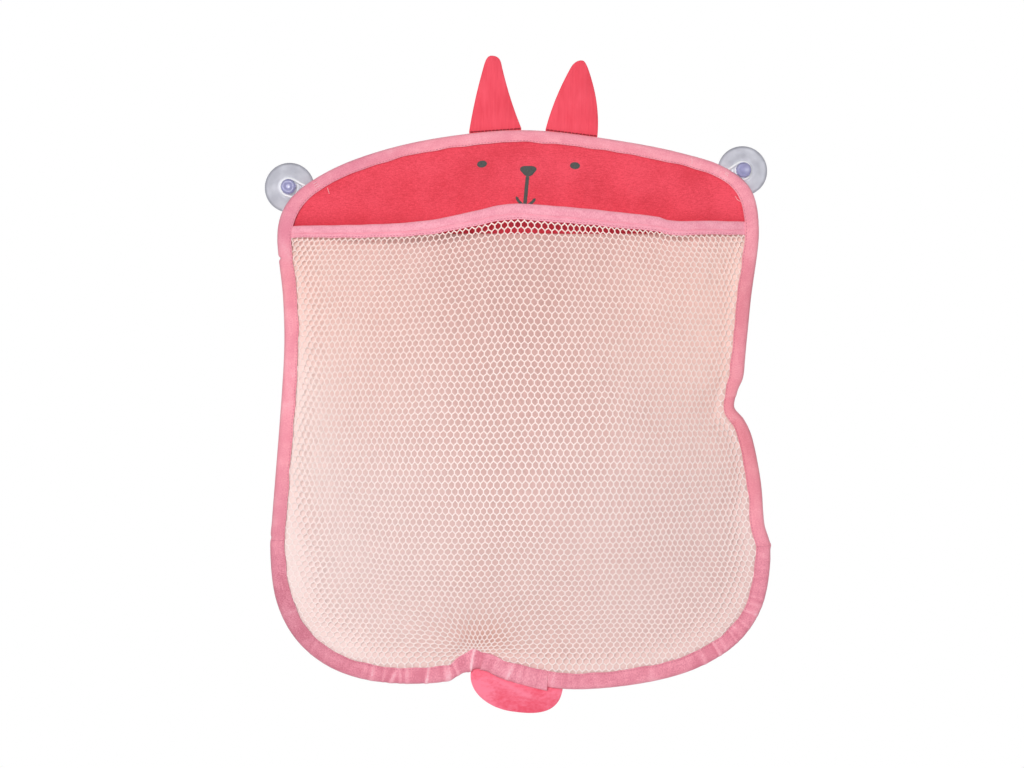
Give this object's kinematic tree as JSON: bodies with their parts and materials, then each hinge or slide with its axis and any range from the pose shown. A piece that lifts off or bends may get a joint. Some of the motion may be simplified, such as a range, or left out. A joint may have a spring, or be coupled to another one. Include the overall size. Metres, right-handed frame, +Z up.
{
  "type": "bath toy organizer",
  "caption": "Rabbit-shaped hanging bath toy bag: a bulging net pocket on a bound fabric back with ears, tail and a bowed hem, hung on a smooth wall by cord loops and suction cups.",
  "frame": {"origin": "on the wall, midway between the two suction cups", "axes": "+Z up, +Y into the wall, so the front faces -Y, and +X to the right as seen from the front"},
  "size_m": [0.406, 0.0842, 0.5261],
  "materials": {
    "pale_fabric": "plain woven polyester, matt",
    "coral_fabric": "plain woven polyester, matt",
    "pale_net": "warp-knitted hexagonal net, slight lustre",
    "pink_tape": "folded bias tape, matt",
    "clear_vinyl": "soft clear vinyl, glossy",
    "white_cord": "smooth cord"
  },
  "bodies": {
    "bag": {"back_panel": "pale_fabric", "face_panel": "coral_fabric", "front_net": "pale_net", "hem_tape": "pink_tape", "edge_binding": "pink_tape"},
    "left_ear": {"left_ear": "coral_fabric"},
    "right_ear": {"right_ear": "coral_fabric"},
    "tail": {"tail": "coral_fabric"},
    "left_loop": {"left_loop": "white_cord"},
    "right_loop": {"right_loop": "white_cord"},
    "left_cup": {"left_cup": "clear_vinyl"},
    "right_cup": {"right_cup": "clear_vinyl"}
  },
  "joints": [
    {"name": "left_ear_fold", "type": "hinge", "parent": "bag", "child": "left_ear", "pos_m": [-0.0167, -0.0083, 0.03915], "axis": [0.9976, 0, 0.0694], "range_deg": [0, 90], "stiffness_Nm_per_rad": 0.01},
    {"name": "right_ear_fold", "type": "hinge", "parent": "bag", "child": "right_ear", "pos_m": [0.04457, -0.0083, 0.03704], "axis": [0.9924, 0, -0.123], "range_deg": [0, 90], "stiffness_Nm_per_rad": 0.01},
    {"name": "tail_fold", "type": "hinge", "parent": "bag", "child": "tail", "pos_m": [0.0024, -0.0083, -0.38987], "axis": [0.9903, 0, -0.1392], "range_deg": [0, 75]},
    {"name": "left_loop_swing", "type": "hinge", "parent": "bag", "child": "left_loop", "pos_m": [-0.16836, -0.0082, -0.01233], "axis": [-0.3746, 0, -0.9272], "range_deg": [0, 45], "stiffness_Nm_per_rad": 0.02},
    {"name": "right_loop_swing", "type": "hinge", "parent": "bag", "child": "right_loop", "pos_m": [0.17, -0.0082, 0.00072], "axis": [-0.4384, 0, 0.8988], "range_deg": [0, 45], "stiffness_Nm_per_rad": 0.02},
    {"name": "left_cup_turn", "type": "hinge", "parent": "left_loop", "child": "left_cup", "pos_m": [-0.18229, 0, -0.00671], "axis": [0, 1, 0], "continuous": true},
    {"name": "right_cup_turn", "type": "hinge", "parent": "right_loop", "child": "right_cup", "pos_m": [0.18229, 0, 0.00671], "axis": [0, 1, 0], "continuous": true}
  ]
}
